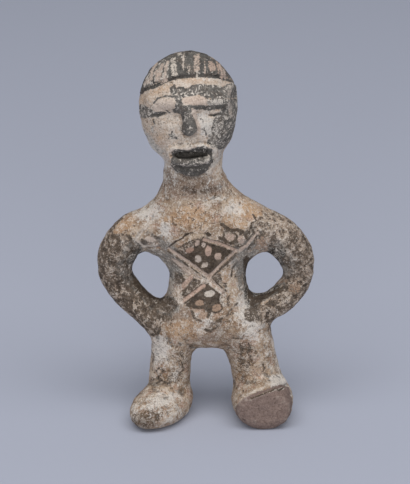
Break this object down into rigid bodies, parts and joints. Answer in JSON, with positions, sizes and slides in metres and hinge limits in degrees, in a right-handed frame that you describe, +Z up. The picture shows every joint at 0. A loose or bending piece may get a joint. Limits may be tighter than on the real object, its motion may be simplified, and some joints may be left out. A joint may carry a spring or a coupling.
{
  "type": "anthropomorphic statuette",
  "caption": "Small standing clay figure with both hands on its hips, a striped cap, an engraved cross on its chest and a broken foot.",
  "frame": {"origin": "middle of the figure's outline seen from above, on the surface that it stands on", "axes": "+Z up along the figure's height; it faces -Y, and its own left arm is on the +X side"},
  "size_m": [0.0576, 0.0282, 0.1001],
  "materials": {
    "fired_clay": "matt fired clay under a worn cream slip, with remains of brown-black paint and a chalky deposit"
  },
  "bodies": {
    "root": {"statuette": "fired_clay"}
  },
  "joints": []
}
